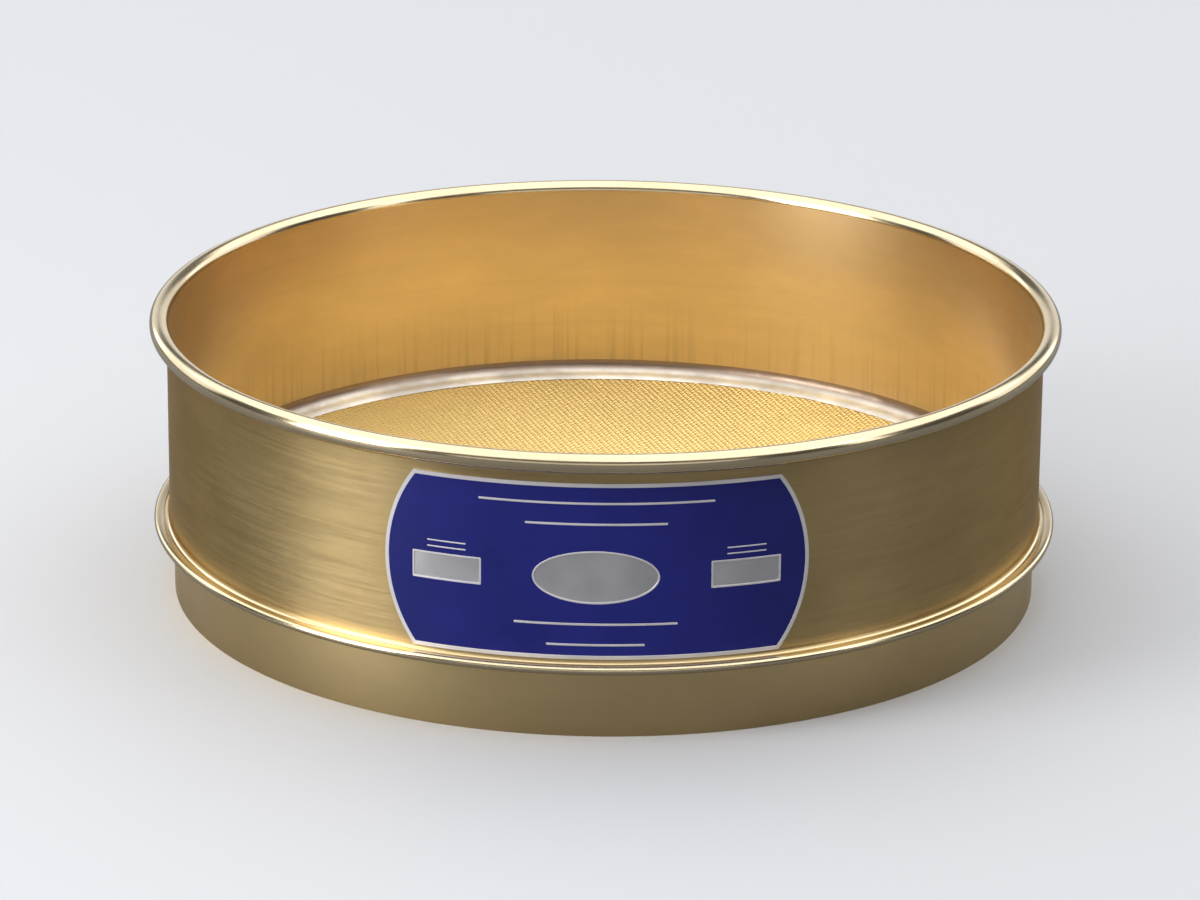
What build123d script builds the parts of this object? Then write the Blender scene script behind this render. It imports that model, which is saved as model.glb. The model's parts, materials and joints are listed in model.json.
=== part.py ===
from build123d import *
from math import acos, asin, atan2, cos, degrees, hypot, radians, sin
import os

# Full-height laboratory test sieve, 8 inches across the bore.  Millimetres, +Z up, with the
# origin at the centre of the lower edge and the label facing -Y.
#
# The frame is two spun brass sheets.  The upper one is the wall, with its rim rolled outwards
# and a flange at its foot.  The lower one is the skirt, which enters the rim of the next sieve
# in a stack.  Its top turns outwards under the wire cloth, wraps round the edges of the cloth
# and of the wall's flange, and is closed down on them: the hemmed shoulder.

# ---- Frame -----------------------------------------------------------------------------------
bore_r = 101.6          # inside radius of the wall
overall_h = 66.7        # lower edge to the top of the rolled rim
shoulder_z = 15.9       # lower edge to the shoulder, which sits on the rim of the sieve below
sheet_t = 0.55          # brass sheet of both pieces
rim_roll_r = 2.25       # outside radius of the rolled rim's section
rim_roll_gap = 0.15     # between the rolled edge and the wall
wall_bend_r = 1.2       # outside radius of the bend from the wall to its flange
skirt_bend_r = 0.8      # outside radius of the bend from the skirt to the shoulder
shoulder_reach = 4.2    # from the bore to the outer edge of the shoulder
nest_gap = 0.4          # between the skirt and the bore that it enters
hem_gap = 0.1           # between the clamped edges and the inside of the hem
hem_leg_gap = 0.2       # between the hem's upper leg and the wall's bend

# ---- Wire cloth ------------------------------------------------------------------------------
wire_d = 0.16           # warp wires lie below, weft wires above, each one wire thick
band_pitch = 3.25       # from one band of wires to the next
band_w = 1.3            # width of a band
mesh_margin = 0.4       # closed cloth between the mesh and the solder

# ---- Solder ----------------------------------------------------------------------------------
solder_rise = 3.4       # up the wall from the cloth
solder_reach = 5.6      # in over the cloth from the wall
solder_edge_t = 0.06    # thickness where its face runs out on the wall and the cloth
solder_hollow_r = 3.0   # radius of the face between the cloth and the wall
solder_root = 50.0      # degrees of the wall's bend that it fills

# ---- Label -----------------------------------------------------------------------------------
label_t = 0.4           # aluminium plate
enamel_t = 0.12         # depth of the etched field, which the enamel fills level
enamel_gap = 0.02       # between the enamel's edges and the bare metal
label_gap_top = 2.8     # plate to the rolled rim
label_gap_foot = 0.1    # plate to the wall's bend
label_corner_w = 82.4   # round the wall, from corner to corner
label_middle_w = 96.4   # round the wall, where its bowed ends are fullest
border_w = 0.9          # bare border round the field
panel_w = 16.0          # two bare panels, one on each side
panel_h = 6.3
panel_offset = 33.4     # from the middle of the label
oval_w = 28.0           # bare oval between the panels
oval_h = 12.3
panel_drop = 1.3        # panels and oval, below the middle of the label
rule_h = 0.5            # bare rules above and below the oval
upper_rule_w = 52.0
upper_rule_drop = 4.6   # from the top of the plate
lower_rule_w = 36.0
lower_rule_rise = 8.2   # from the foot of the plate
rule_pitch = 4.8        # each pair's second rule, nearer the oval above and nearer the foot below
second_rule_share = 0.6  # its width, of the first one's

# ---- Radii and levels that follow ------------------------------------------------------------
wall_r = bore_r + sheet_t
skirt_r = bore_r - nest_gap
roll_r = bore_r + rim_roll_r
roll_z = overall_h - rim_roll_r
cloth_z = shoulder_z + sheet_t
cloth_top_z = cloth_z + 2 * wire_d
bend_r = wall_r + wall_bend_r
bend_z = cloth_top_z + sheet_t + wall_bend_r
hem_r = sheet_t + (sheet_t + cloth_top_z - cloth_z) / 2
hem_centre_r = bore_r + shoulder_reach - hem_r
clamp_r = hem_centre_r - hem_gap
solder_r = bore_r - solder_reach
label_r = wall_r + label_t
label_foot_z = bend_z + label_gap_foot
label_top_z = roll_z - rim_roll_r - label_gap_top
label_mid_z = (label_foot_z + label_top_z) / 2


def spun_sheet(*middle_line):
    """Sheet spun round the axis, from the middle line of its section."""
    section = Sketch() + [trace(run, sheet_t) for run in middle_line]
    return revolve(Plane.XZ * section, Axis.Z)


def upper_frame():
    """Wall with its rolled rim, and the flange that the hem clamps."""
    half_t = sheet_t / 2
    flange_z = cloth_top_z + half_t
    open_angle = degrees(acos((rim_roll_r - sheet_t - rim_roll_gap) / rim_roll_r))
    return spun_sheet(
        Line((clamp_r, flange_z), (bend_r, flange_z)),
        CenterArc((bend_r, bend_z), wall_bend_r + half_t, 270, -90),
        Line((bore_r + half_t, bend_z), (bore_r + half_t, roll_z)),
        CenterArc((roll_r, roll_z), rim_roll_r - half_t, 180, open_angle - 360),
    )


def lower_skirt():
    """Skirt, with the shoulder and the hem at its top."""
    half_t = sheet_t / 2
    skirt_top_z = shoulder_z - skirt_bend_r
    shoulder_r = skirt_r + skirt_bend_r
    leg_z = shoulder_z + 2 * hem_r - half_t
    return spun_sheet(
        Line((skirt_r - half_t, 0), (skirt_r - half_t, skirt_top_z)),
        CenterArc((shoulder_r, skirt_top_z), skirt_bend_r + half_t, 180, -90),
        Line((shoulder_r, shoulder_z + half_t), (hem_centre_r, shoulder_z + half_t)),
        CenterArc((hem_centre_r, shoulder_z + hem_r), hem_r - half_t, -90, 180),
        Line((hem_centre_r, leg_z), (bend_r + hem_leg_gap, leg_z)),
    )


def cloth_layer(level, turn):
    """One set of the cloth's wires: a clamped disc whose gaps leave parallel bands."""
    mesh_r = solder_r - mesh_margin
    gaps_each_side = int(mesh_r / band_pitch)
    gap = Rectangle(2 * mesh_r, band_pitch - band_w)
    gaps = Sketch() + [
        Pos(0, (row + 0.5) * band_pitch) * gap for row in range(-gaps_each_side, gaps_each_side)
    ]
    bands = Circle(clamp_r) - (Circle(mesh_r) & gaps)
    return extrude(Plane((0, 0, level)) * Rot(0, 0, turn) * bands, wire_d)


def wire_cloth():
    """Warp wires with the weft wires laid across them."""
    return Compound(children=[cloth_layer(cloth_z, 0), cloth_layer(cloth_z + wire_d, 90)])


def solder_ring():
    """Solder run round the corner between the wall and the cloth."""
    inner_r = wall_bend_r + sheet_t
    root_angle = 180 + solder_root
    root_r = bend_r + inner_r * cos(radians(root_angle))
    root_z = bend_z + inner_r * sin(radians(root_angle))
    top_z = cloth_top_z + solder_rise
    edge_z = cloth_top_z + solder_edge_t
    edge_r = bore_r - solder_edge_t
    hollow_centre_r = edge_r - solder_hollow_r
    reach = hollow_centre_r - solder_r
    rise = top_z - edge_z
    slope = degrees(atan2(rise, reach) - asin(solder_hollow_r / hypot(rise, reach)))
    hollow = CenterArc((hollow_centre_r, top_z), solder_hollow_r, slope - 90, 90 - slope)
    outline = [
        Line((solder_r, cloth_top_z), (solder_r, edge_z)),
        Line((solder_r, edge_z), hollow @ 0),
        hollow,
        Line((edge_r, top_z), (bore_r, top_z)),
        Line((bore_r, top_z), (bore_r, bend_z)),
        CenterArc((bend_r, bend_z), inner_r, 180, solder_root),
        Line((root_r, root_z), (root_r, cloth_top_z)),
        Line((root_r, cloth_top_z), (solder_r, cloth_top_z)),
    ]
    return revolve(Plane.XZ * make_face(outline), Axis.Z)


def across(arc):
    """Distance from the middle, seen from the front, of a length laid round the label."""
    return label_r * sin(arc / label_r)


def curved(outline, thickness):
    """Outline drawn from the front, cut from the outer skin of the label."""
    skin = Circle(label_r) - Circle(label_r - thickness)
    tube = extrude(Plane((0, 0, label_foot_z)) * skin, label_top_z - label_foot_z)
    return tube & extrude(Plane.XZ * outline, 2 * label_r)


def label_outline():
    """Straight head and foot, with ends bowed outwards."""
    corner = across(label_corner_w / 2)
    fullest = across(label_middle_w / 2)
    foot_left = (-corner, label_foot_z)
    foot_right = (corner, label_foot_z)
    top_left = (-corner, label_top_z)
    top_right = (corner, label_top_z)
    return make_face([
        Line(foot_left, foot_right),
        ThreePointArc(foot_right, (fullest, label_mid_z), top_right),
        Line(top_right, top_left),
        ThreePointArc(top_left, (-fullest, label_mid_z), foot_left),
    ])


def bare_shapes(margin):
    """Panels, oval and rules that stay bare metal in the field, wider all round by a margin."""
    panel_z = label_mid_z - panel_drop
    inner = across(panel_offset - panel_w / 2)
    outer = across(panel_offset + panel_w / 2)
    panel = Rectangle(outer - inner + 2 * margin, panel_h + 2 * margin)
    shapes = Pos(0, panel_z) * Ellipse(across(oval_w / 2) + margin, oval_h / 2 + margin)
    for side in (-1, 1):
        shapes += Pos(side * (inner + outer) / 2, panel_z) * panel
    upper_z = label_top_z - upper_rule_drop
    lower_z = label_foot_z + lower_rule_rise
    for row_z, row_w in ((upper_z, upper_rule_w), (lower_z, lower_rule_w)):
        for drop, rule_w in ((0, row_w), (rule_pitch, second_rule_share * row_w)):
            rule = Rectangle(2 * (across(rule_w / 2) + margin), rule_h + 2 * margin)
            shapes += Pos(0, row_z - drop) * rule
    return shapes


def field(margin):
    """Blue field inside the border and round the bare shapes, narrower all round by a margin."""
    return curved(offset(label_outline(), -border_w - margin) - bare_shapes(margin), enamel_t)


pieces = {
    "upper_frame": upper_frame(),
    "lower_skirt": lower_skirt(),
    "wire_cloth": wire_cloth(),
    "solder_ring": solder_ring(),
    "label_plate": curved(label_outline(), label_t) - field(0),
    "label_enamel": field(enamel_gap),
}

os.makedirs("parts", exist_ok=True)
for name, piece in pieces.items():
    export_step(piece, f"parts/{name}.step")
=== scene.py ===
import json
from math import acos, asin, atan2, cos, degrees, hypot, pi, radians, sin

import bpy
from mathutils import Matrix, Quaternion, Vector


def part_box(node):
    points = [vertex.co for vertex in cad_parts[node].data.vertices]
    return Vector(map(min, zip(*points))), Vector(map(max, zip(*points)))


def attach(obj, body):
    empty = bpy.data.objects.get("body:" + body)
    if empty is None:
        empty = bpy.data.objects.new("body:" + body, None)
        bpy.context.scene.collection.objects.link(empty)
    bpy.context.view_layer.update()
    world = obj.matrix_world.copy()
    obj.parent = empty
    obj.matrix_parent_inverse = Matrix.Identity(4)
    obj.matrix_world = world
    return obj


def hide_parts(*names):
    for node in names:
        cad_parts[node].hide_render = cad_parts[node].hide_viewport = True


bl_info = {
    "name": "Test Sieve",
    "version": (1, 0, 0),
    "blender": (4, 5, 0),
    "location": "3D View > Sidebar > Sieve",
    "description": "Builds a brass laboratory test sieve round its packed frame",
    "category": "Add Mesh",
}

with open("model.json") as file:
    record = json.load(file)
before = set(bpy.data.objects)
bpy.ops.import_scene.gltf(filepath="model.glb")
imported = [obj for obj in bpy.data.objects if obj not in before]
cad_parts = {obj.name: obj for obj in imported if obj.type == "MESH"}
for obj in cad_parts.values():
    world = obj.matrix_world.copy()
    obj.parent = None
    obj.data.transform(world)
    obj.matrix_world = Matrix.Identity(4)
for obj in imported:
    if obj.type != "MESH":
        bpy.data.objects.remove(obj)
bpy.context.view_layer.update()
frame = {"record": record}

# Everything is in metres, +Z up, the label facing -Y.
MM = 0.001
BODY = "root"


# ---- Sizes read from the frame ---------------------------------------------------------------

def mount(name):
    """The record's mount of this name."""
    return next(m for m in frame["record"]["mounts"] if m["name"] == name)


_, UPPER_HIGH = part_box("upper_frame")
_, SKIRT_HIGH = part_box("lower_skirt")
CLOTH_LOW, CLOTH_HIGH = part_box("wire_cloth")
SOLDER_LOW, SOLDER_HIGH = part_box("solder_ring")
PLATE_LOW, PLATE_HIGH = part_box("label_plate")

BORE_R = mount("top_socket")["dims"]["r_mm"] * MM
SKIRT_R = mount("skirt_spigot")["dims"]["r_mm"] * MM
SHOULDER_Z = mount("shoulder_seat")["pos_m"][2]
SHOULDER_R = SKIRT_HIGH.x
RIM_Z = UPPER_HIGH.z
ROLL_R = (UPPER_HIGH.x - BORE_R) / 2
CLOTH_Z = CLOTH_LOW.z
CLOTH_TOP_Z = CLOTH_HIGH.z
SHEET_T = CLOTH_Z - SHOULDER_Z
WALL_R = BORE_R + SHEET_T


# ---- Values of the mesh ----------------------------------------------------------------------

BEND_STEPS = 8                 # across each bend of the sheets
ROLL_STEPS = 36                # round the rolled rim
HEM_STEPS = 14                 # round the hem
SEAM_MERGE = MM / 200          # vertices nearer than this are one, where a spin closes
FACE_MERGE = MM / 500          # the same in a finished piece
CURVE_MERGE = MM / 1000        # the same in a plate made from a curve
SHARP_EDGE = radians(60)       # a sheet's edges sharper than this are its cut edges
SOLDER_CREASE = 50             # degrees, sharper than any turn of the solder's face
WIRE_SIDES = 3
WIRE_MERGE = 0.01              # of the pitch, where the lengths of a wire join
RULE_CORNER = 1 / 3            # corner radius of a rule, of its thickness

# Waves of the solder's inner edge: how many round the ring, share of the sway, and phase.
SOLDER_WAVES = ((5, 0.45, 0.3), (11, 0.30, 1.9), (23, 0.17, 4.1), (41, 0.08, 2.6))
SOLDER_FADE = 1.5              # power by which the waves die out towards the wall


# ---- Values of the finishes ------------------------------------------------------------------

INSIDE = 1                     # material index of a spun sheet's inner faces; its outer ones are 0
POLISHED = 2                   # and of its polished ones
RIM_ROUGHNESS = 0.15           # rolled rim and shoulder, where smoothest
SKIRT_ROUGHNESS = 0.29         # skirt, where smoothest
POLISH_RANGE = 0.07            # from the smoothest places to the dullest

STREAK_HEIGHT = 18 * MM        # upright streaks on the wall, from the solder up
WALL_REFLECTION_START = 0.25            # share of the solder's height at which its painted reflection of the wall starts
WALL_REFLECTION_FULL = 0.48             # and at which that painted reflection is full
BANK_WIDTH = 4.5 * MM          # the solder rounds down to its inner edge over this width
BANK_DEPTH = 1.6 * MM          # and by this much
LUMP_DEPTH = 0.25 * MM         # lumps on the solder


# ---- Values of the stage ---------------------------------------------------------------------

FLOOR_SIZE = 8.0
FLOOR_ROUGHNESS = 0.6
FLOOR_MIRRORED = 0.24          # tone of the floor in reflections, of its tone to the camera
WORLD_GREY = 0.07

# Name, azimuth, elevation, distance, width, height and watts of each area light.
LAMPS = (
    ("key_left", -63, 22, 1.1, 0.5, 0.7, 9),
    ("fill_right", 66, 24, 1.2, 0.2, 0.7, 0.8),
    ("front_low", 0, 14, 1.9, 2.6, 0.6, 3.4),
    ("top", 180, 86, 1.6, 5.0, 4.0, 106),
    ("back_low", 180, 12, 1.5, 2.6, 0.5, 3.5),
    ("back_left", -128, 18, 1.4, 1.0, 0.6, 2.5),
    ("back_right", 128, 18, 1.4, 1.0, 0.6, 2.5),
)

CAMERA_DISTANCE = 1.3
CAMERA_AZIMUTH = 0.9
CAMERA_ELEVATION = 19.2
CAMERA_ROLL = 0.5
CAMERA_AIM = Vector((0, 0, 33 * MM))
SENSOR_WIDTH = 36.0
PICTURE_WIDTH = 1200
FOCAL_PIXELS = 5529.6
AIM_OFFSET = (4.49, 6.6)       # pixels by which the aim lies right of and above the middle


# ---- Properties ------------------------------------------------------------------------------

def length(name, description, default):
    """A length that a user may set."""
    return bpy.props.FloatProperty(
        name=name, description=description, default=default, min=0.0, unit="LENGTH", precision=5)


def colour(name, description, default):
    """A colour that a user may set, in scene-linear values."""
    return bpy.props.FloatVectorProperty(
        name=name, description=description, default=default, size=3, min=0.0, max=1.0,
        subtype="COLOR")


def count(name, description, default):
    """A number of steps that a user may set."""
    return bpy.props.IntProperty(name=name, description=description, default=default, min=3)


def angle(name, description, default):
    """An angle that a user may set."""
    return bpy.props.FloatProperty(
        name=name, description=description, default=default, subtype="ANGLE")


class SieveSizes(bpy.types.PropertyGroup):
    """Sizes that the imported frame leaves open."""
    wall_bend_r: length("Wall bend", "Outside radius of the bend from wall to flange", 1.2 * MM)
    skirt_bend_r: length("Skirt bend", "Outside radius of the bend from skirt to shoulder", 0.8 * MM)
    roll_gap: length("Roll gap", "Clearance between the rolled edge and the wall", 0.15 * MM)
    hem_gap: length("Hem gap", "Clearance between the clamped edges and the hem", 0.1 * MM)
    hem_leg_gap: length("Hem leg gap", "Clearance between the hem's upper leg and the bend", 0.2 * MM)
    edge_round: length("Edge rounding", "Rounding of the sheet's cut edges", 0.12 * MM)
    solder_reach: length("Solder reach", "How far the solder runs over the cloth", 5.6 * MM)
    solder_edge: length("Solder edge", "Thickness of the solder at its edges", 0.06 * MM)
    solder_hollow_r: length("Solder hollow", "Radius of the solder's hollow face", 3.0 * MM)
    solder_steps: count("Solder steps", "Steps across the solder's hollow face", 12)
    solder_sway: length("Solder sway", "How far the solder's inner edge wanders", 0.35 * MM)
    wire_pitch: length("Wire pitch", "From one wire of the cloth to the next", 1.0 * MM)
    wire_width: length("Wire width", "Width of a wire seen from above", 0.68 * MM)
    wire_height: length("Wire height", "Height of a wire", 0.24 * MM)
    cloth_turn: angle("Cloth turn", "Turn of the weave from square to the label", radians(25))
    spin_steps: count("Spin steps", "Steps in a full turn of the spun pieces", 288)


class LabelSizes(bpy.types.PropertyGroup):
    """Sizes of the label, laid flat."""
    thickness: length("Thickness", "Thickness of the plate", 0.4 * MM)
    enamel_t: length("Enamel depth", "Depth of the etched field", 0.12 * MM)
    enamel_sunk: length("Enamel level", "Enamel below the bare metal", 0.03 * MM)
    chamfer: length("Chamfer", "Chamfer of the plate's edges", 0.03 * MM)
    corner_w: length("Corner width", "Width between corners", 82.4 * MM)
    middle_w: length("Middle width", "Width at the fullest point", 96.4 * MM)
    border_w: length("Border", "Bare border round the field", 0.9 * MM)
    panel_w: length("Panel width", "Width of the two bare panels", 16.0 * MM)
    panel_h: length("Panel height", "Height of the two bare panels", 6.3 * MM)
    frame_w: length("Frame width", "Raised line round each panel and the oval", 0.4 * MM)
    panel_corner: length("Panel corner", "Corner radius of the panels", 0.25 * MM)
    panel_offset: length("Panel offset", "From the label's middle to a panel's", 33.4 * MM)
    panel_drop: length("Panel drop", "Panels and oval below the middle", 1.3 * MM)
    oval_w: length("Oval width", "Width of the bare oval", 28.0 * MM)
    oval_h: length("Oval height", "Height of the bare oval", 12.3 * MM)
    rule_h: length("Rule height", "Thickness of the bare rules", 0.5 * MM)
    upper_rule_w: length("Upper rule", "Width of the upper rule", 52.0 * MM)
    upper_rule_drop: length("Upper rule drop", "Upper rule below the top", 4.6 * MM)
    lower_rule_w: length("Lower rule", "Width of the lower rule", 36.0 * MM)
    lower_rule_rise: length("Lower rule rise", "Lower rule above the foot", 8.2 * MM)
    rule_pitch: length("Rule pitch", "From one rule of a pair to the other", 4.8 * MM)
    caption_w: length("Caption rule", "Width of the two short rules over a panel", 9.0 * MM)
    caption_h: length("Caption height", "Thickness of the short rules", 0.3 * MM)
    caption_rise: length("Caption rise", "Short rules above the panel", 1.4 * MM)
    caption_pitch: length("Caption pitch", "From one short rule to the other", 1.4 * MM)
    strip_w: length("Strip", "Width of the strips that follow the wall", 1.5 * MM)
    second_rule_share: bpy.props.FloatProperty(
        name="Second rule", description="Width of a pair's second rule, of the first",
        default=0.6, min=0.1, max=1.0)


class SieveColours(bpy.types.PropertyGroup):
    """Colours of the finishes."""
    brass: colour("Brass", "Satin brass of the wall", (0.60, 0.445, 0.215))
    brass_deep: colour("Deep brass", "Darker tone of the wall", (0.50, 0.365, 0.165))
    brass_glance: colour("Brass glance", "Tint of the wall, seen at a low angle", (0.70, 0.60, 0.50))
    brass_bright: colour("Bright brass", "Polished rim and shoulder", (0.77, 0.64, 0.42))
    # Painted reflection: the skirt gets a lighter, warmer brass than the wall and shoulder, standing
    # in for bright reflections on its polish.
    brass_skirt_lit: colour("Skirt brass", "Outside of the skirt", (0.94, 0.71, 0.36))
    # Painted light: the inside of the wall gets a lighter, warmer brass than the outside, standing in
    # for light bounced round inside the sieve.
    brass_inside_lit: colour("Warm brass", "Inside of the wall", (0.76, 0.59, 0.345))
    cloth: colour("Cloth", "Wire of the cloth", (1.0, 0.78, 0.36))
    solder: colour("Solder", "Solder ring", (0.80, 0.75, 0.68))
    # Painted reflection: brown painted over the solder's upper part, standing in for the wall that it
    # mirrors there.
    wall_reflection: colour("Wall_reflection", "Upper part of the solder, browned by its flux", (0.28, 0.21, 0.16))
    plate: colour("Plate", "Bare metal of the label", (0.92, 0.89, 0.91))
    matt: colour("Matt plate", "Floor of the label's panels and oval", (0.66, 0.66, 0.69))
    enamel: colour("Enamel", "Blue field of the label", (0.014, 0.018, 0.20))
    floor: colour("Floor", "Floor under the sieve", (0.48, 0.49, 0.515))


# ---- Modelling helpers -----------------------------------------------------------------------

def deselect_all():
    """Leaves object mode with nothing selected, so that an operator acts on new pieces alone."""
    if bpy.context.object and bpy.context.object.mode != "OBJECT":
        bpy.ops.object.mode_set(mode="OBJECT")
    bpy.ops.object.select_all(action="DESELECT")


def pick(piece):
    """Makes one piece the only selected and the active one."""
    deselect_all()
    piece.select_set(True)
    bpy.context.view_layer.objects.active = piece


def edit(piece):
    """Enters edit mode on a piece with all of it selected."""
    pick(piece)
    bpy.ops.object.mode_set(mode="EDIT")
    bpy.ops.mesh.select_all(action="SELECT")


def leave_edit():
    """Goes back to object mode."""
    bpy.ops.object.mode_set(mode="OBJECT")


def apply_modifier(piece, kind, **settings):
    """Adds one modifier with these settings and applies it."""
    pick(piece)
    modifier = piece.modifiers.new(kind.title(), kind)
    for key, value in settings.items():
        setattr(modifier, key, value)
    bpy.ops.object.modifier_apply(modifier=modifier.name)


def arc(centre, radius, start, end, steps):
    """Points of a section's bend, with angles in degrees from the +R direction."""
    turns = [radians(start + (end - start) * i / steps) for i in range(steps + 1)]
    return [(centre[0] + radius * cos(t), centre[1] + radius * sin(t)) for t in turns]


def draw_section(name, points):
    """A chain of edges in the XZ plane: one vertex, extruded from point to point."""
    deselect_all()
    bpy.ops.mesh.primitive_plane_add(size=MM)
    piece = bpy.context.object
    piece.name = name
    bpy.ops.object.mode_set(mode="EDIT")
    bpy.ops.mesh.merge(type="CENTER")
    here = Vector((points[0][0], 0, points[0][1]))
    bpy.ops.transform.translate(value=here)
    for r, z in points[1:]:
        there = Vector((r, 0, z))
        bpy.ops.mesh.extrude_region_move(TRANSFORM_OT_translate={"value": there - here})
        here = there
    leave_edit()
    return piece


def spin_section(piece, steps):
    """Spins a section round the axis and closes the seam."""
    edit(piece)
    bpy.ops.mesh.spin(steps=steps, angle=2 * pi, center=(0, 0, 0), axis=(0, 0, 1))
    bpy.ops.mesh.select_all(action="SELECT")
    bpy.ops.mesh.remove_doubles(threshold=SEAM_MERGE)
    bpy.ops.mesh.normals_make_consistent(inside=False)
    leave_edit()


def smooth(piece, crease=30):
    """Smooth shading, with creases sharper than this many degrees kept."""
    pick(piece)
    bpy.ops.object.shade_smooth_by_angle(angle=radians(crease))


def close_faces(piece):
    """Merges doubles and turns every face outwards."""
    edit(piece)
    bpy.ops.mesh.remove_doubles(threshold=FACE_MERGE)
    bpy.ops.mesh.normals_make_consistent(inside=False)
    leave_edit()


def spun_sheet(name, middle_line, steps):
    """Sheet metal spun round the axis, from the middle line of its section."""
    sizes = bpy.context.scene.sieve_sizes
    piece = draw_section(name, middle_line)
    spin_section(piece, steps)
    apply_modifier(piece, "SOLIDIFY", thickness=SHEET_T, offset=0.0, use_even_offset=True)
    close_faces(piece)
    apply_modifier(piece, "BEVEL", width=sizes.edge_round, segments=2,
                   limit_method="ANGLE", angle_limit=SHARP_EDGE)
    smooth(piece)
    return piece


def paint(piece, *finishes):
    """Gives a piece its materials, in the order of its material indices."""
    piece.data.materials.clear()
    for finish in finishes:
        piece.data.materials.append(finish)


def paint_faces(piece, index, chosen):
    """Gives the faces for which chosen(radius, height, facing) is true this material."""
    for face in piece.data.polygons:
        x, y, z = face.center
        r = hypot(x, y)
        outward = (face.normal.x * x + face.normal.y * y) / r
        if chosen(r, z, outward):
            face.material_index = index


def keep(piece, node):
    """Fixes a finished piece to the frame in place of its node."""
    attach(piece, BODY)
    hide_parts(node)
    deselect_all()


# ---- Finishes --------------------------------------------------------------------------------

def darker(tone, share):
    """A tone brought down to this share of itself."""
    return tuple(share * part for part in tone)


class Finish:
    """A Principled material whose nodes are added one after another."""

    def __init__(self, name):
        self.material = bpy.data.materials.new(name)
        self.material.use_nodes = True
        self.tree = self.material.node_tree
        self.shader = self.tree.nodes["Principled BSDF"]
        self.place = self.add("ShaderNodeTexCoord").outputs["Object"]

    def add(self, kind, **settings):
        """A new node with these settings; the names of inputs may be given as settings too."""
        node = self.tree.nodes.new(kind)
        for key, value in settings.items():
            if hasattr(node, key):
                setattr(node, key, value)
            else:
                node.inputs[key.replace("_", " ").title()].default_value = value
        return node

    def link(self, source, target):
        """Joins an output to an input."""
        self.tree.links.new(source, target)

    def noise(self, scale, detail=3.0, roughness=0.5):
        """Noise with one scale along each axis, per metre."""
        mapping = self.add("ShaderNodeMapping")
        mapping.inputs["Scale"].default_value = scale
        self.link(self.place, mapping.inputs["Vector"])
        node = self.add("ShaderNodeTexNoise", scale=1.0, detail=detail, roughness=roughness)
        self.link(mapping.outputs["Vector"], node.inputs["Vector"])
        return node.outputs["Fac"]

    def height(self):
        """Height above the sieve's foot, in metres."""
        node = self.add("ShaderNodeSeparateXYZ")
        self.link(self.place, node.inputs["Vector"])
        return node.outputs["Z"]

    def radius(self):
        """Distance from the sieve's axis, in metres."""
        level = self.add("ShaderNodeMapping")
        level.inputs["Scale"].default_value = (1, 1, 0)
        self.link(self.place, level.inputs["Vector"])
        node = self.add("ShaderNodeVectorMath", operation="LENGTH")
        self.link(level.outputs["Vector"], node.inputs[0])
        return node.outputs["Value"]

    def product(self, first, second):
        """Product of two outputs."""
        node = self.add("ShaderNodeMath", operation="MULTIPLY")
        self.link(first, node.inputs[0])
        self.link(second, node.inputs[1])
        return node.outputs["Value"]

    def spread(self, source, low, high, to_low=0.0, to_high=1.0):
        """Stretches a range of values to another, clamped at both ends."""
        node = self.add("ShaderNodeMapRange")
        self.link(source, node.inputs["Value"])
        for name, value in (("From Min", low), ("From Max", high),
                            ("To Min", to_low), ("To Max", to_high)):
            node.inputs[name].default_value = value
        return node.outputs["Result"]

    def blend(self, share, first, second):
        """A colour between two, by a share from 0 to 1."""
        node = self.add("ShaderNodeMix", data_type="RGBA")
        sockets = {socket.identifier: socket for socket in node.inputs}
        self.link(share, sockets["Factor_Float"])
        for name, value in (("A_Color", first), ("B_Color", second)):
            if hasattr(value, "is_linked"):
                self.link(value, sockets[name])
            else:
                sockets[name].default_value = (*value, 1.0)
        return next(o for o in node.outputs if o.identifier == "Result_Color")

    def bump(self, *layers):
        """Bumps on top of each other, each a height from 0 to 1 and its depth in metres."""
        normal = None
        for height, depth in layers:
            node = self.add("ShaderNodeBump")
            node.inputs["Strength"].default_value = 1.0
            node.inputs["Distance"].default_value = depth
            self.link(height, node.inputs["Height"])
            if normal:
                self.link(normal, node.inputs["Normal"])
            normal = node.outputs["Normal"]
        self.link(normal, self.shader.inputs["Normal"])

    def base(self, value):
        """Base colour from an output."""
        self.link(value, self.shader.inputs["Base Color"])

    def roughness(self, value):
        """Roughness from an output."""
        self.link(value, self.shader.inputs["Roughness"])

    def metal(self, anisotropy=0.0):
        """Makes it metal, brushed round the axis if it has any anisotropy."""
        self.shader.inputs["Metallic"].default_value = 1.0
        if anisotropy:
            self.shader.inputs["Anisotropic"].default_value = anisotropy
            self.shader.inputs["Anisotropic Rotation"].default_value = 0.25
            tangent = self.add("ShaderNodeTangent", direction_type="RADIAL", axis="Z")
            self.link(tangent.outputs["Tangent"], self.shader.inputs["Tangent"])


def satin_brass(colours):
    """Outside of the wall: satin, with a faint grain and lines round it and cloudy tones."""
    finish = Finish("satin_brass")
    finish.metal(anisotropy=0.55)
    finish.shader.inputs["Specular Tint"].default_value = (*colours.brass_glance, 1.0)
    clouds = finish.noise((26, 26, 40), detail=5.0, roughness=0.6)
    lines = finish.noise((9, 9, 2600), detail=2.0)
    grain = finish.noise((45, 45, 1600), detail=4.0, roughness=0.6)
    tone = finish.blend(finish.spread(clouds, 0.35, 0.68), colours.brass_deep, colours.brass)
    worn = darker(colours.brass_deep, 0.72)
    finish.base(finish.blend(finish.spread(grain, 0.40, 0.80, 0.0, 0.35), tone, worn))
    finish.roughness(finish.spread(grain, 0.3, 0.7, 0.40, 0.32))
    finish.bump((lines, 0.004 * MM), (clouds, 0.05 * MM))
    return finish.material


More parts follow.
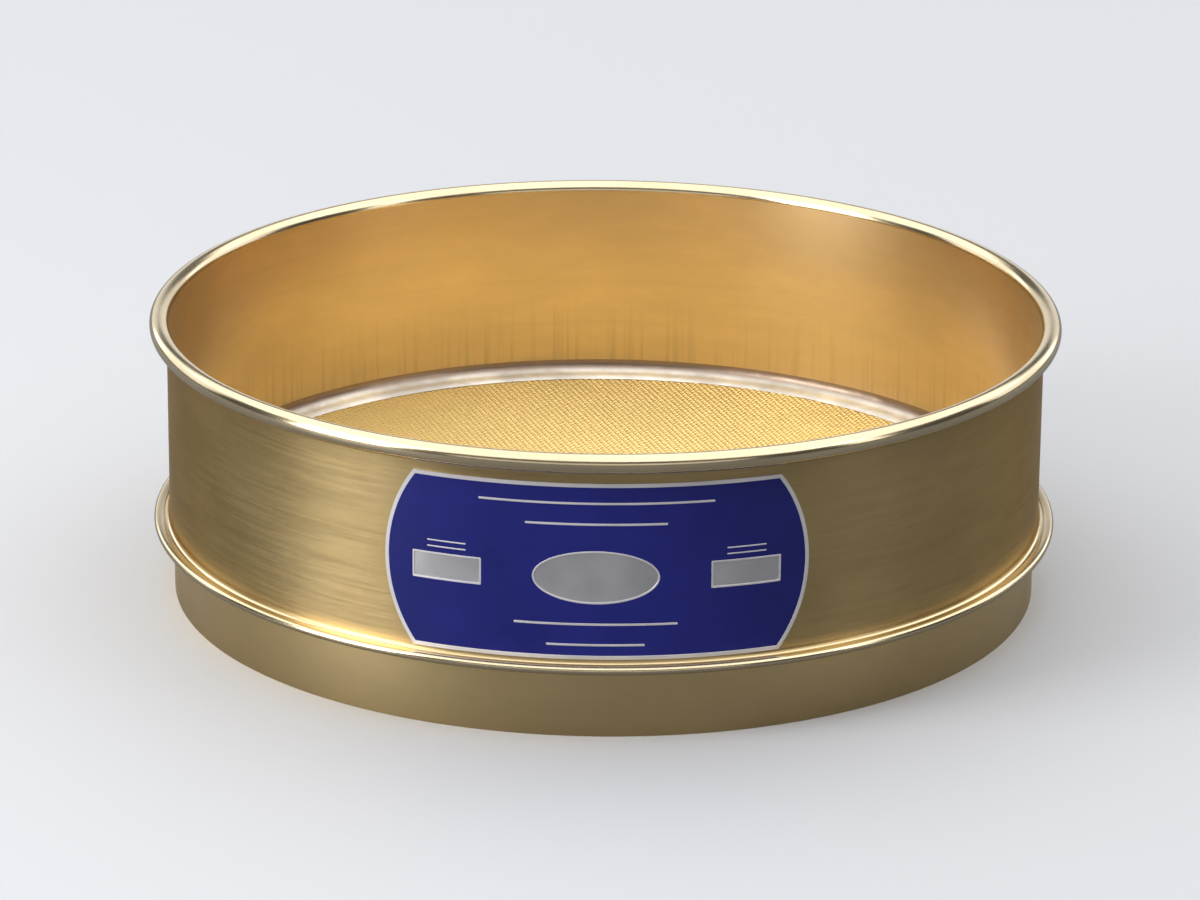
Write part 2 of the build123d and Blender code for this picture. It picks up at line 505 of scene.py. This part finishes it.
def polished_brass(name, tone, smoothest):
    """Polished brass, with fine turning lines and slightly duller patches."""
    finish = Finish(name)
    finish.metal(anisotropy=0.3)
    clouds = finish.noise((30, 30, 60), detail=4.0)
    lines = finish.noise((14, 14, 3200), detail=2.0)
    dull = darker(tone, 0.86)
    finish.base(finish.blend(finish.spread(clouds, 0.35, 0.7), tone, dull))
    finish.roughness(finish.spread(clouds, 0.3, 0.7, smoothest, smoothest + POLISH_RANGE))
    finish.bump((lines, 0.002 * MM))
    return finish.material


def inner_brass(colours):
    """Inside of the wall: painted lighter and warmer than the outside as painted bounce light, with
    faint upright streaks above the solder.
    """
    finish = Finish("inner_brass")
    finish.metal(anisotropy=0.35)
    clouds = finish.noise((22, 22, 60), detail=5.0, roughness=0.6)
    streaks = finish.noise((700, 700, 16), detail=3.0, roughness=0.55)
    lines = finish.noise((9, 9, 2200), detail=2.0)
    bands = finish.noise((12, 12, 380), detail=3.0)
    low = finish.spread(finish.height(), SOLDER_HIGH.z, SOLDER_HIGH.z + STREAK_HEIGHT, 1.0, 0.0)
    marks = finish.product(finish.spread(streaks, 0.50, 0.74), low)
    dull = darker(colours.brass_inside_lit, 0.84)
    tone = finish.blend(finish.spread(clouds, 0.35, 0.7), dull, colours.brass_inside_lit)
    tone = finish.blend(finish.spread(bands, 0.55, 0.75, 0.0, 0.5), tone, dull)
    stain = darker(colours.brass_inside_lit, 0.70)
    finish.base(finish.blend(marks, tone, stain))
    finish.roughness(finish.spread(clouds, 0.3, 0.7, 0.34, 0.28))
    finish.bump((lines, 0.003 * MM), (clouds, 0.04 * MM))
    return finish.material


def solder_metal(colours):
    """Solder: bright and lumpy, rounded down to its inner edge, with a painted reflection of the wall
    in brown over its upper part.
    """
    finish = Finish("solder_metal")
    finish.metal()
    lumps = finish.noise((170, 170, 240), detail=3.0)
    patches = finish.noise((45, 45, 90), detail=4.0, roughness=0.65)
    dull = darker(colours.solder, 0.62)
    tone = finish.blend(finish.spread(patches, 0.38, 0.66), dull, colours.solder)
    foot, rise = SOLDER_LOW.z, SOLDER_HIGH.z - SOLDER_LOW.z
    # Painted reflection of the wall: the solder turns brown with height towards the wall.
    wall_reflection = finish.spread(finish.height(), foot + WALL_REFLECTION_START * rise, foot + WALL_REFLECTION_FULL * rise)
    finish.base(finish.blend(wall_reflection, tone, colours.wall_reflection))
    finish.roughness(finish.spread(patches, 0.3, 0.7, 0.42, 0.29))
    inner_r = BORE_R - bpy.context.scene.sieve_sizes.solder_reach
    near_edge = finish.spread(finish.radius(), inner_r, inner_r + BANK_WIDTH, 1.0, 0.0)
    bank = finish.spread(finish.product(near_edge, near_edge), 0.0, 1.0, 1.0, 0.0)
    finish.bump((bank, BANK_DEPTH), (lumps, LUMP_DEPTH))
    return finish.material


def cloth_wire(colours):
    """Drawn brass wire of the cloth, a little duller in places."""
    finish = Finish("cloth_wire")
    finish.metal()
    clouds = finish.noise((30, 30, 30), detail=4.0)
    dull = darker(colours.cloth, 0.93)
    finish.base(finish.blend(finish.spread(clouds, 0.35, 0.65), dull, colours.cloth))
    finish.roughness(finish.spread(clouds, 0.3, 0.7, 0.62, 0.55))
    return finish.material


def plate_metal(colours):
    """Aluminium of the label, with a fine level grain."""
    finish = Finish("plate_metal")
    finish.shader.inputs["Metallic"].default_value = 0.6
    grain = finish.noise((500, 500, 9000), detail=2.0)
    clouds = finish.noise((80, 80, 80), detail=3.0)
    dull = darker(colours.plate, 0.85)
    finish.base(finish.blend(finish.spread(clouds, 0.35, 0.7), dull, colours.plate))
    finish.roughness(finish.spread(grain, 0.3, 0.7, 0.36, 0.46))
    finish.bump((grain, 0.004 * MM))
    return finish.material


def matt_metal(colours):
    """Etched floor of the panels and the oval: matt grey, ready for writing on."""
    finish = Finish("matt_metal")
    finish.metal()
    grain = finish.noise((2600, 2600, 2600), detail=2.0)
    clouds = finish.noise((60, 60, 60), detail=4.0)
    dull = darker(colours.matt, 0.8)
    finish.base(finish.blend(finish.spread(clouds, 0.35, 0.68), dull, colours.matt))
    finish.roughness(finish.spread(clouds, 0.3, 0.7, 0.52, 0.60))
    finish.bump((grain, 0.01 * MM))
    return finish.material


def blue_enamel(colours):
    """Blue enamel of the label, smooth, with a trace of orange peel and uneven depth."""
    finish = Finish("blue_enamel")
    finish.shader.inputs["Specular IOR Level"].default_value = 0.35
    clouds = finish.noise((34, 34, 34), detail=4.0, roughness=0.6)
    peel = finish.noise((700, 700, 700), detail=2.0)
    deep = darker(colours.enamel, 0.72)
    finish.base(finish.blend(finish.spread(clouds, 0.35, 0.68), deep, colours.enamel))
    finish.roughness(finish.spread(clouds, 0.3, 0.7, 0.30, 0.38))
    finish.bump((peel, 0.006 * MM))
    return finish.material


def pale_floor(colours):
    """Plain matt floor: pale to the camera, darker in the reflections on the brass."""
    finish = Finish("pale_floor")
    seen = finish.add("ShaderNodeLightPath").outputs["Is Camera Ray"]
    mirrored = darker(colours.floor, FLOOR_MIRRORED)
    finish.base(finish.blend(seen, mirrored, colours.floor))
    finish.shader.inputs["Roughness"].default_value = FLOOR_ROUGHNESS
    return finish.material


# ---- Pieces of the frame ---------------------------------------------------------------------

def hem_section(sizes):
    """Outside radius of the hem's turn, and the radius at which it is centred."""
    hem_r = SHEET_T + (SHEET_T + CLOTH_TOP_Z - CLOTH_Z) / 2
    return hem_r, SHOULDER_R - hem_r


def clamp_radius(sizes):
    """Radius of the edges that the hem clamps."""
    return hem_section(sizes)[1] - sizes.hem_gap


class SIEVE_OT_upper_frame(bpy.types.Operator):
    """Spun wall with its rolled rim and clamped flange"""
    bl_idname = "sieve.upper_frame"
    bl_label = "Upper frame"

    def execute(self, context):
        sizes = context.scene.sieve_sizes
        colours = context.scene.sieve_colours
        half_t = SHEET_T / 2
        bend_at = (WALL_R + sizes.wall_bend_r, CLOTH_TOP_Z + SHEET_T + sizes.wall_bend_r)
        roll_at = (BORE_R + ROLL_R, RIM_Z - ROLL_R)
        open_angle = degrees(acos((ROLL_R - SHEET_T - sizes.roll_gap) / ROLL_R))
        middle_line = [(clamp_radius(sizes), CLOTH_TOP_Z + half_t)]
        middle_line += arc(bend_at, sizes.wall_bend_r + half_t, 270, 180, BEND_STEPS)
        middle_line += arc(roll_at, ROLL_R - half_t, 180, open_angle - 180, ROLL_STEPS)
        frame_piece = spun_sheet("upper_frame_spun", middle_line, sizes.spin_steps)
        paint(frame_piece, satin_brass(colours), inner_brass(colours),
              polished_brass("bright_brass", colours.brass_bright, RIM_ROUGHNESS))
        paint_faces(frame_piece, INSIDE,
                    lambda r, z, outward: r < BORE_R + half_t and outward < 0)
        paint_faces(frame_piece, POLISHED,
                    lambda r, z, outward: z > roll_at[1] or r > WALL_R + half_t)
        keep(frame_piece, "upper_frame")
        return {"FINISHED"}


class SIEVE_OT_lower_skirt(bpy.types.Operator):
    """Skirt that enters the next sieve, with the hemmed shoulder at its top"""
    bl_idname = "sieve.lower_skirt"
    bl_label = "Lower skirt"

    def execute(self, context):
        sizes = context.scene.sieve_sizes
        colours = context.scene.sieve_colours
        half_t = SHEET_T / 2
        hem_r, hem_centre_r = hem_section(sizes)
        bend_at = (SKIRT_R + sizes.skirt_bend_r, SHOULDER_Z - sizes.skirt_bend_r)
        leg_r = WALL_R + sizes.wall_bend_r + sizes.hem_leg_gap
        middle_line = [(SKIRT_R - half_t, 0.0)]
        middle_line += arc(bend_at, sizes.skirt_bend_r + half_t, 180, 90, BEND_STEPS)
        middle_line += arc((hem_centre_r, SHOULDER_Z + hem_r), hem_r - half_t, -90, 90, HEM_STEPS)
        middle_line += [(leg_r, SHOULDER_Z + 2 * hem_r - half_t)]
        skirt = spun_sheet("lower_skirt_spun", middle_line, sizes.spin_steps)
        # The skirt's lighter brass is a painted reflection.
        paint(skirt, polished_brass("skirt_brass", colours.brass_skirt_lit, SKIRT_ROUGHNESS),
              inner_brass(colours),
              polished_brass("shoulder_brass", colours.brass_bright, RIM_ROUGHNESS))
        paint_faces(skirt, INSIDE, lambda r, z, outward: r < SKIRT_R - half_t and outward < 0)
        paint_faces(skirt, POLISHED, lambda r, z, outward: r > SKIRT_R + half_t)
        keep(skirt, "lower_skirt")
        return {"FINISHED"}


def sway_inner_edge(ring, inner_r, sway):
    """Lets the solder's inner edge wander, less and less towards the wall."""
    for vertex in ring.data.vertices:
        x, y, z = vertex.co
        r = hypot(x, y)
        share = max(0.0, 1 - (r - inner_r) / (BORE_R - inner_r)) ** SOLDER_FADE
        turn = atan2(x, -y)
        shift = sway * share * sum(
            size * sin(n * turn + phase) for n, size, phase in SOLDER_WAVES)
        vertex.co.x = x * (1 + shift / r)
        vertex.co.y = y * (1 + shift / r)


class SIEVE_OT_solder_ring(bpy.types.Operator):
    """Solder that fills the corner between the wall and the cloth"""
    bl_idname = "sieve.solder_ring"
    bl_label = "Solder ring"

    def execute(self, context):
        sizes = context.scene.sieve_sizes
        inner_r = BORE_R - sizes.solder_reach
        edge_z = CLOTH_TOP_Z + sizes.solder_edge
        hollow_at = (BORE_R - sizes.solder_edge - sizes.solder_hollow_r, SOLDER_HIGH.z)
        reach, rise = hollow_at[0] - inner_r, hollow_at[1] - edge_z
        slope = degrees(atan2(rise, reach) - asin(sizes.solder_hollow_r / hypot(rise, reach)))
        root = SOLDER_HIGH.x
        section = [(inner_r, CLOTH_TOP_Z), (inner_r, edge_z)]
        section += arc(hollow_at, sizes.solder_hollow_r, slope - 90, 0, sizes.solder_steps)
        section += [(BORE_R, SOLDER_HIGH.z), (BORE_R, SOLDER_LOW.z + sizes.wall_bend_r + SHEET_T)]
        section += [(root, CLOTH_TOP_Z + SHEET_T), (root, CLOTH_TOP_Z), (inner_r, CLOTH_TOP_Z)]
        ring = draw_section("solder_ring_run", section)
        spin_section(ring, sizes.spin_steps)
        close_faces(ring)
        sway_inner_edge(ring, inner_r, sizes.solder_sway)
        smooth(ring, crease=SOLDER_CREASE)
        paint(ring, solder_metal(context.scene.sieve_colours))
        keep(ring, "solder_ring")
        return {"FINISHED"}


# ---- Wire cloth ------------------------------------------------------------------------------

def trim_round(wires, edge_r, pitch):
    """Deletes the crossings outside this radius and closes the cut ends."""
    edit(wires)
    bpy.ops.mesh.select_mode(type="VERT")
    bpy.ops.mesh.select_all(action="DESELECT")
    leave_edit()
    for vertex in wires.data.vertices:
        crossing = (pitch * round(vertex.co.x / pitch), pitch * round(vertex.co.y / pitch))
        vertex.select = hypot(*crossing) > edge_r
    bpy.ops.object.mode_set(mode="EDIT")
    bpy.ops.mesh.delete(type="VERT")
    bpy.ops.mesh.select_all(action="SELECT")
    bpy.ops.mesh.fill_holes(sides=WIRE_SIDES)
    bpy.ops.mesh.select_all(action="SELECT")
    bpy.ops.mesh.normals_make_consistent(inside=False)
    leave_edit()
    pick(wires)
    bpy.ops.object.shade_smooth()


def woven_wires(name, sizes, quarter_turn):
    """Parallel waved wires, cut to the round and let into the shoulder."""
    pitch = sizes.wire_pitch
    rise = sizes.wire_height / 2
    middle_z = (CLOTH_Z + CLOTH_TOP_Z) / 2
    pairs = int(SKIRT_R / pitch / 2) + 1
    start = -2 * pairs * pitch
    wave = -1 if quarter_turn else 1
    deselect_all()
    bpy.ops.mesh.primitive_circle_add(
        vertices=WIRE_SIDES, radius=0.5, fill_type="NOTHING", rotation=(pi / 2, 0, pi / 2),
        location=(start, start, middle_z + wave * rise))
    wires = bpy.context.object
    wires.name = name
    wires.scale = (sizes.wire_width, sizes.wire_height, 1)
    bpy.ops.object.transform_apply()
    edit(wires)
    for fall in (-2 * rise, 2 * rise):
        bpy.ops.mesh.extrude_region_move(
            TRANSFORM_OT_translate={"value": (pitch, 0, wave * fall)})
    leave_edit()
    apply_modifier(wires, "ARRAY", count=2 * pairs, use_relative_offset=False,
                   use_constant_offset=True, constant_offset_displace=(2 * pitch, 0, 0),
                   use_merge_vertices=True, merge_threshold=WIRE_MERGE * pitch)
    edit(wires)
    bpy.ops.mesh.duplicate_move(TRANSFORM_OT_translate={"value": (pitch, pitch, 0)})
    leave_edit()
    apply_modifier(wires, "ARRAY", count=2 * pairs, use_relative_offset=False,
                   use_constant_offset=True, constant_offset_displace=(0, 2 * pitch, 0))
    trim_round(wires, SKIRT_R, pitch)
    edit(wires)
    bpy.ops.transform.rotate(value=sizes.cloth_turn + (pi / 2 if quarter_turn else 0),
                             orient_axis="Z", center_override=(0, 0, 0))
    leave_edit()
    return wires


class SIEVE_OT_wire_cloth(bpy.types.Operator):
    """Woven wire: warp wires and the weft wires that pass over and under them"""
    bl_idname = "sieve.wire_cloth"
    bl_label = "Wire cloth"

    def execute(self, context):
        sizes = context.scene.sieve_sizes
        wire = cloth_wire(context.scene.sieve_colours)
        for name, quarter_turn in (("cloth_warp", False), ("cloth_weft", True)):
            wires = woven_wires(name, sizes, quarter_turn)
            paint(wires, wire)
            keep(wires, "wire_cloth")
        return {"FINISHED"}


# ---- Label -----------------------------------------------------------------------------------

def rounded_rectangle(centre, size, corner, steps=4):
    """Rectangle with rounded corners, as one loop of points."""
    cx, cy = centre
    half_w, half_h = size[0] / 2 - corner, size[1] / 2 - corner
    loop = []
    for quarter, (sx, sy) in enumerate(((1, 1), (-1, 1), (-1, -1), (1, -1))):
        loop += arc((cx + sx * half_w, cy + sy * half_h), corner,
                    90 * quarter, 90 * (quarter + 1), steps)
    return loop


def oval(centre, size, steps=72):
    """Ellipse as one loop of points."""
    return [(centre[0] + size[0] / 2 * cos(2 * pi * i / steps),
             centre[1] + size[1] / 2 * sin(2 * pi * i / steps)) for i in range(steps)]


def label_outline(label, inset, steps=28):
    """Plate outline with bowed ends, set in from the edge by a border."""
    foot, top = PLATE_LOW.z, PLATE_HIGH.z
    middle, half_h = (foot + top) / 2, (top - foot) / 2
    bulge = (label.middle_w - label.corner_w) / 2
    bow_r = (half_h ** 2 + bulge ** 2) / (2 * bulge)
    bow_at = label.middle_w / 2 - bow_r
    reach = degrees(asin((half_h - inset) / (bow_r - inset)))
    return (arc((bow_at, middle), bow_r - inset, -reach, reach, steps)
            + arc((-bow_at, middle), bow_r - inset, 180 - reach, 180 + reach, steps))


def window_loops(label, inset):
    """Oval and panels, set in from their outer edge."""
    row = (PLATE_LOW.z + PLATE_HIGH.z) / 2 - label.panel_drop
    loops = [oval((0, row), (label.oval_w - 2 * inset, label.oval_h - 2 * inset))]
    for side in (-1, 1):
        loops.append(rounded_rectangle((side * label.panel_offset, row),
                                       (label.panel_w - 2 * inset, label.panel_h - 2 * inset),
                                       label.panel_corner))
    return loops


def rule_loops(label):
    """Bare rules above and below the oval, and short ones over the panels."""
    foot, top = PLATE_LOW.z, PLATE_HIGH.z
    loops = []
    for first_z, width in ((top - label.upper_rule_drop, label.upper_rule_w),
                           (foot + label.lower_rule_rise, label.lower_rule_w)):
        for drop, share in ((0, 1.0), (label.rule_pitch, label.second_rule_share)):
            loops.append(rounded_rectangle((0, first_z - drop), (share * width, label.rule_h),
                                           RULE_CORNER * label.rule_h))
    caption_z = (foot + top) / 2 - label.panel_drop + label.panel_h / 2 + label.caption_rise
    for side in (-1, 1):
        for row in (0, 1):
            loops.append(rounded_rectangle(
                (side * label.panel_offset, caption_z + row * label.caption_pitch),
                (label.caption_w, label.caption_h), RULE_CORNER * label.caption_h))
    return loops


def flat_plate(name, loops, low, high, chamfer):
    """Plate from closed loops, the inner ones holes, between two depths."""
    curve = bpy.data.curves.new(name, "CURVE")
    curve.dimensions = "2D"
    curve.fill_mode = "BOTH"
    curve.extrude = (high - low) / 2 - chamfer
    curve.bevel_depth = chamfer
    curve.bevel_resolution = 0
    curve.offset = -chamfer
    for loop in loops:
        spline = curve.splines.new("POLY")
        spline.points.add(len(loop) - 1)
        spline.use_cyclic_u = True
        for point, (x, y) in zip(spline.points, loop):
            point.co = (x, y, 0, 1)
    plate = bpy.data.objects.new(name, curve)
    bpy.context.scene.collection.objects.link(plate)
    pick(plate)
    bpy.ops.object.convert(target="MESH")
    edit(plate)
    bpy.ops.mesh.remove_doubles(threshold=CURVE_MERGE)
    bpy.ops.transform.translate(value=(0, 0, (low + high) / 2))
    leave_edit()
    return plate


def wrap_on_wall(plate, label):
    """Cuts a flat plate into upright strips and lays it round the wall."""
    strips = int(label.middle_w / label.strip_w)
    edit(plate)
    for strip in range(1 - strips // 2, strips // 2):
        bpy.ops.mesh.select_all(action="SELECT")
        bpy.ops.mesh.bisect(plane_co=(strip * label.strip_w, 0, 0), plane_no=(1, 0, 0))
    leave_edit()
    face_r = WALL_R + label.thickness
    for vertex in plate.data.vertices:
        x, y, z = vertex.co
        vertex.co = ((WALL_R + z) * sin(x / face_r), -(WALL_R + z) * cos(x / face_r), y)
    close_faces(plate)


class SIEVE_OT_label_plate(bpy.types.Operator):
    """Aluminium plate with its bare border, panels, oval and rules"""
    bl_idname = "sieve.label_plate"
    bl_label = "Label plate"

    def execute(self, context):
        label = context.scene.sieve_label
        colours = context.scene.sieve_colours
        floor_t = label.thickness - label.enamel_t
        back = flat_plate("label_back", [label_outline(label, 0)], 0, floor_t, 0)
        face = flat_plate("label_face",
                          [label_outline(label, 0), label_outline(label, label.border_w)]
                          + window_loops(label, 0) + window_loops(label, label.frame_w)
                          + rule_loops(label), floor_t, label.thickness, label.chamfer)
        for plate, finish in ((back, matt_metal(colours)), (face, plate_metal(colours))):
            wrap_on_wall(plate, label)
            paint(plate, finish)
        pick(back)
        face.select_set(True)
        bpy.ops.object.join()
        back.name = "label_plate_etched"
        smooth(back)
        keep(back, "label_plate")
        return {"FINISHED"}


class SIEVE_OT_label_enamel(bpy.types.Operator):
    """Blue enamel that fills the plate's etched field"""
    bl_idname = "sieve.label_enamel"
    bl_label = "Label enamel"

    def execute(self, context):
        label = context.scene.sieve_label
        field = flat_plate("label_enamel_fill",
                           [label_outline(label, label.border_w)]
                           + window_loops(label, 0) + rule_loops(label),
                           label.thickness - label.enamel_t,
                           label.thickness - label.enamel_sunk, 0)
        wrap_on_wall(field, label)
        smooth(field)
        paint(field, blue_enamel(context.scene.sieve_colours))
        keep(field, "label_enamel")
        return {"FINISHED"}


# ---- Stage -----------------------------------------------------------------------------------

def direction(azimuth, elevation):
    """Unit vector from the sieve, in degrees round from its label and up from the floor."""
    turn, tilt = radians(azimuth), radians(elevation)
    return Vector((sin(turn) * cos(tilt), -cos(turn) * cos(tilt), sin(tilt)))


def area_light(name, azimuth, elevation, distance, width, height, power):
    """Soft rectangular light that faces the sieve."""
    away = direction(azimuth, elevation)
    bpy.ops.object.light_add(type="AREA", location=away * distance)
    lamp = bpy.context.object
    lamp.name = name
    lamp.rotation_euler = away.to_track_quat("Z", "Y").to_euler()
    lamp.data.shape = "RECTANGLE"
    lamp.data.size = width
    lamp.data.size_y = height
    lamp.data.energy = power


def set_world(scene):
    """Plain grey surroundings."""
    world = bpy.data.worlds.new("studio")
    world.use_nodes = True
    background = world.node_tree.nodes["Background"]
    background.inputs["Color"].default_value = (WORLD_GREY, WORLD_GREY, WORLD_GREY, 1.0)
    scene.world = world


def set_camera(scene):
    """Camera above the label, looking down at the sieve."""
    away = direction(CAMERA_AZIMUTH, CAMERA_ELEVATION)
    bpy.ops.object.camera_add(location=CAMERA_AIM + away * CAMERA_DISTANCE)
    camera = bpy.context.object
    aim = away.to_track_quat("Z", "Y")
    camera.rotation_euler = (aim @ Quaternion((0, 0, 1), radians(CAMERA_ROLL))).to_euler()
    camera.data.sensor_width = SENSOR_WIDTH
    camera.data.lens = SENSOR_WIDTH * FOCAL_PIXELS / PICTURE_WIDTH
    camera.data.shift_x = -AIM_OFFSET[0] / PICTURE_WIDTH
    camera.data.shift_y = -AIM_OFFSET[1] / PICTURE_WIDTH
    scene.camera = camera


class SIEVE_OT_stage(bpy.types.Operator):
    """Pale floor, soft lights and the camera"""
    bl_idname = "sieve.stage"
    bl_label = "Stage"

    def execute(self, context):
        scene = context.scene
        deselect_all()
        bpy.ops.mesh.primitive_plane_add(size=FLOOR_SIZE)
        floor = bpy.context.object
        floor.name = "floor"
        paint(floor, pale_floor(scene.sieve_colours))
        for lamp in LAMPS:
            area_light(*lamp)
        set_world(scene)
        set_camera(scene)
        scene.view_settings.view_transform = "Standard"
        return {"FINISHED"}


# ---- Panel and registration ------------------------------------------------------------------

class SIEVE_PT_panel(bpy.types.Panel):
    """Lists the sieve's pieces, sizes and colours"""
    bl_idname = "SIEVE_PT_panel"
    bl_label = "Test sieve"
    bl_space_type = "VIEW_3D"
    bl_region_type = "UI"
    bl_category = "Sieve"

    def draw(self, context):
        for operator in PIECES:
            self.layout.operator(operator.bl_idname)
        for group in (context.scene.sieve_sizes, context.scene.sieve_label,
                      context.scene.sieve_colours):
            box = self.layout.box()
            for name in group.__annotations__:
                box.prop(group, name)


PIECES = (SIEVE_OT_upper_frame, SIEVE_OT_lower_skirt, SIEVE_OT_wire_cloth, SIEVE_OT_solder_ring,
          SIEVE_OT_label_plate, SIEVE_OT_label_enamel, SIEVE_OT_stage)
CLASSES = (SieveSizes, SieveColours, LabelSizes, *PIECES, SIEVE_PT_panel)


def register():
    """Registers the classes and hangs the settings on the scene."""
    for item in CLASSES:
        bpy.utils.register_class(item)
    bpy.types.Scene.sieve_sizes = bpy.props.PointerProperty(type=SieveSizes)
    bpy.types.Scene.sieve_colours = bpy.props.PointerProperty(type=SieveColours)
    bpy.types.Scene.sieve_label = bpy.props.PointerProperty(type=LabelSizes)


def unregister():
    """Takes the settings and the classes away again."""
    del bpy.types.Scene.sieve_sizes
    del bpy.types.Scene.sieve_colours
    del bpy.types.Scene.sieve_label
    for item in reversed(CLASSES):
        bpy.utils.unregister_class(item)


def main():
    """Builds every piece and the stage."""
    register()
    for operator in PIECES:
        group, name = operator.bl_idname.split(".")
        getattr(getattr(bpy.ops, group), name)()


if __name__ == "__main__":
    main()
